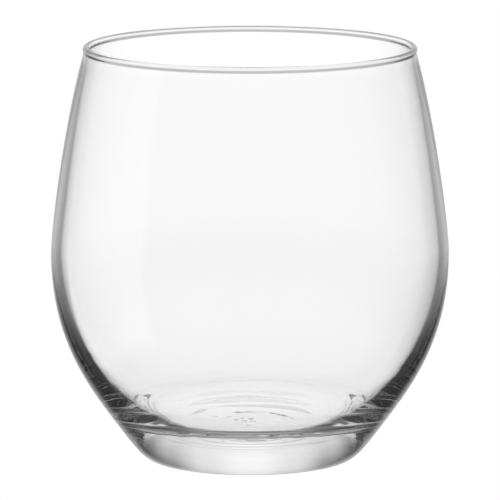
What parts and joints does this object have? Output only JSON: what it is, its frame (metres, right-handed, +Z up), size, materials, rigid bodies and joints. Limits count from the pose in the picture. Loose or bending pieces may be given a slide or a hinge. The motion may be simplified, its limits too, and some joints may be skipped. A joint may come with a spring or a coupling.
{
  "type": "rocks glass",
  "caption": "Clear stemless rocks glass: rounded bowl narrowing to a beaded lip, thick tapered base with a flat bearing ring; holds a short drink.",
  "frame": {"origin": "on the glass's axis, at the level of the bearing ring it stands on", "axes": "+Z up along the glass's axis, from the foot to the mouth; +X and +Y are any two level directions, since the glass is round"},
  "size_m": [0.088, 0.088, 0.0924],
  "materials": {
    "clear_glass": "clear, fire-polished"
  },
  "bodies": {
    "root": {"glass_body": "clear_glass"}
  },
  "joints": []
}
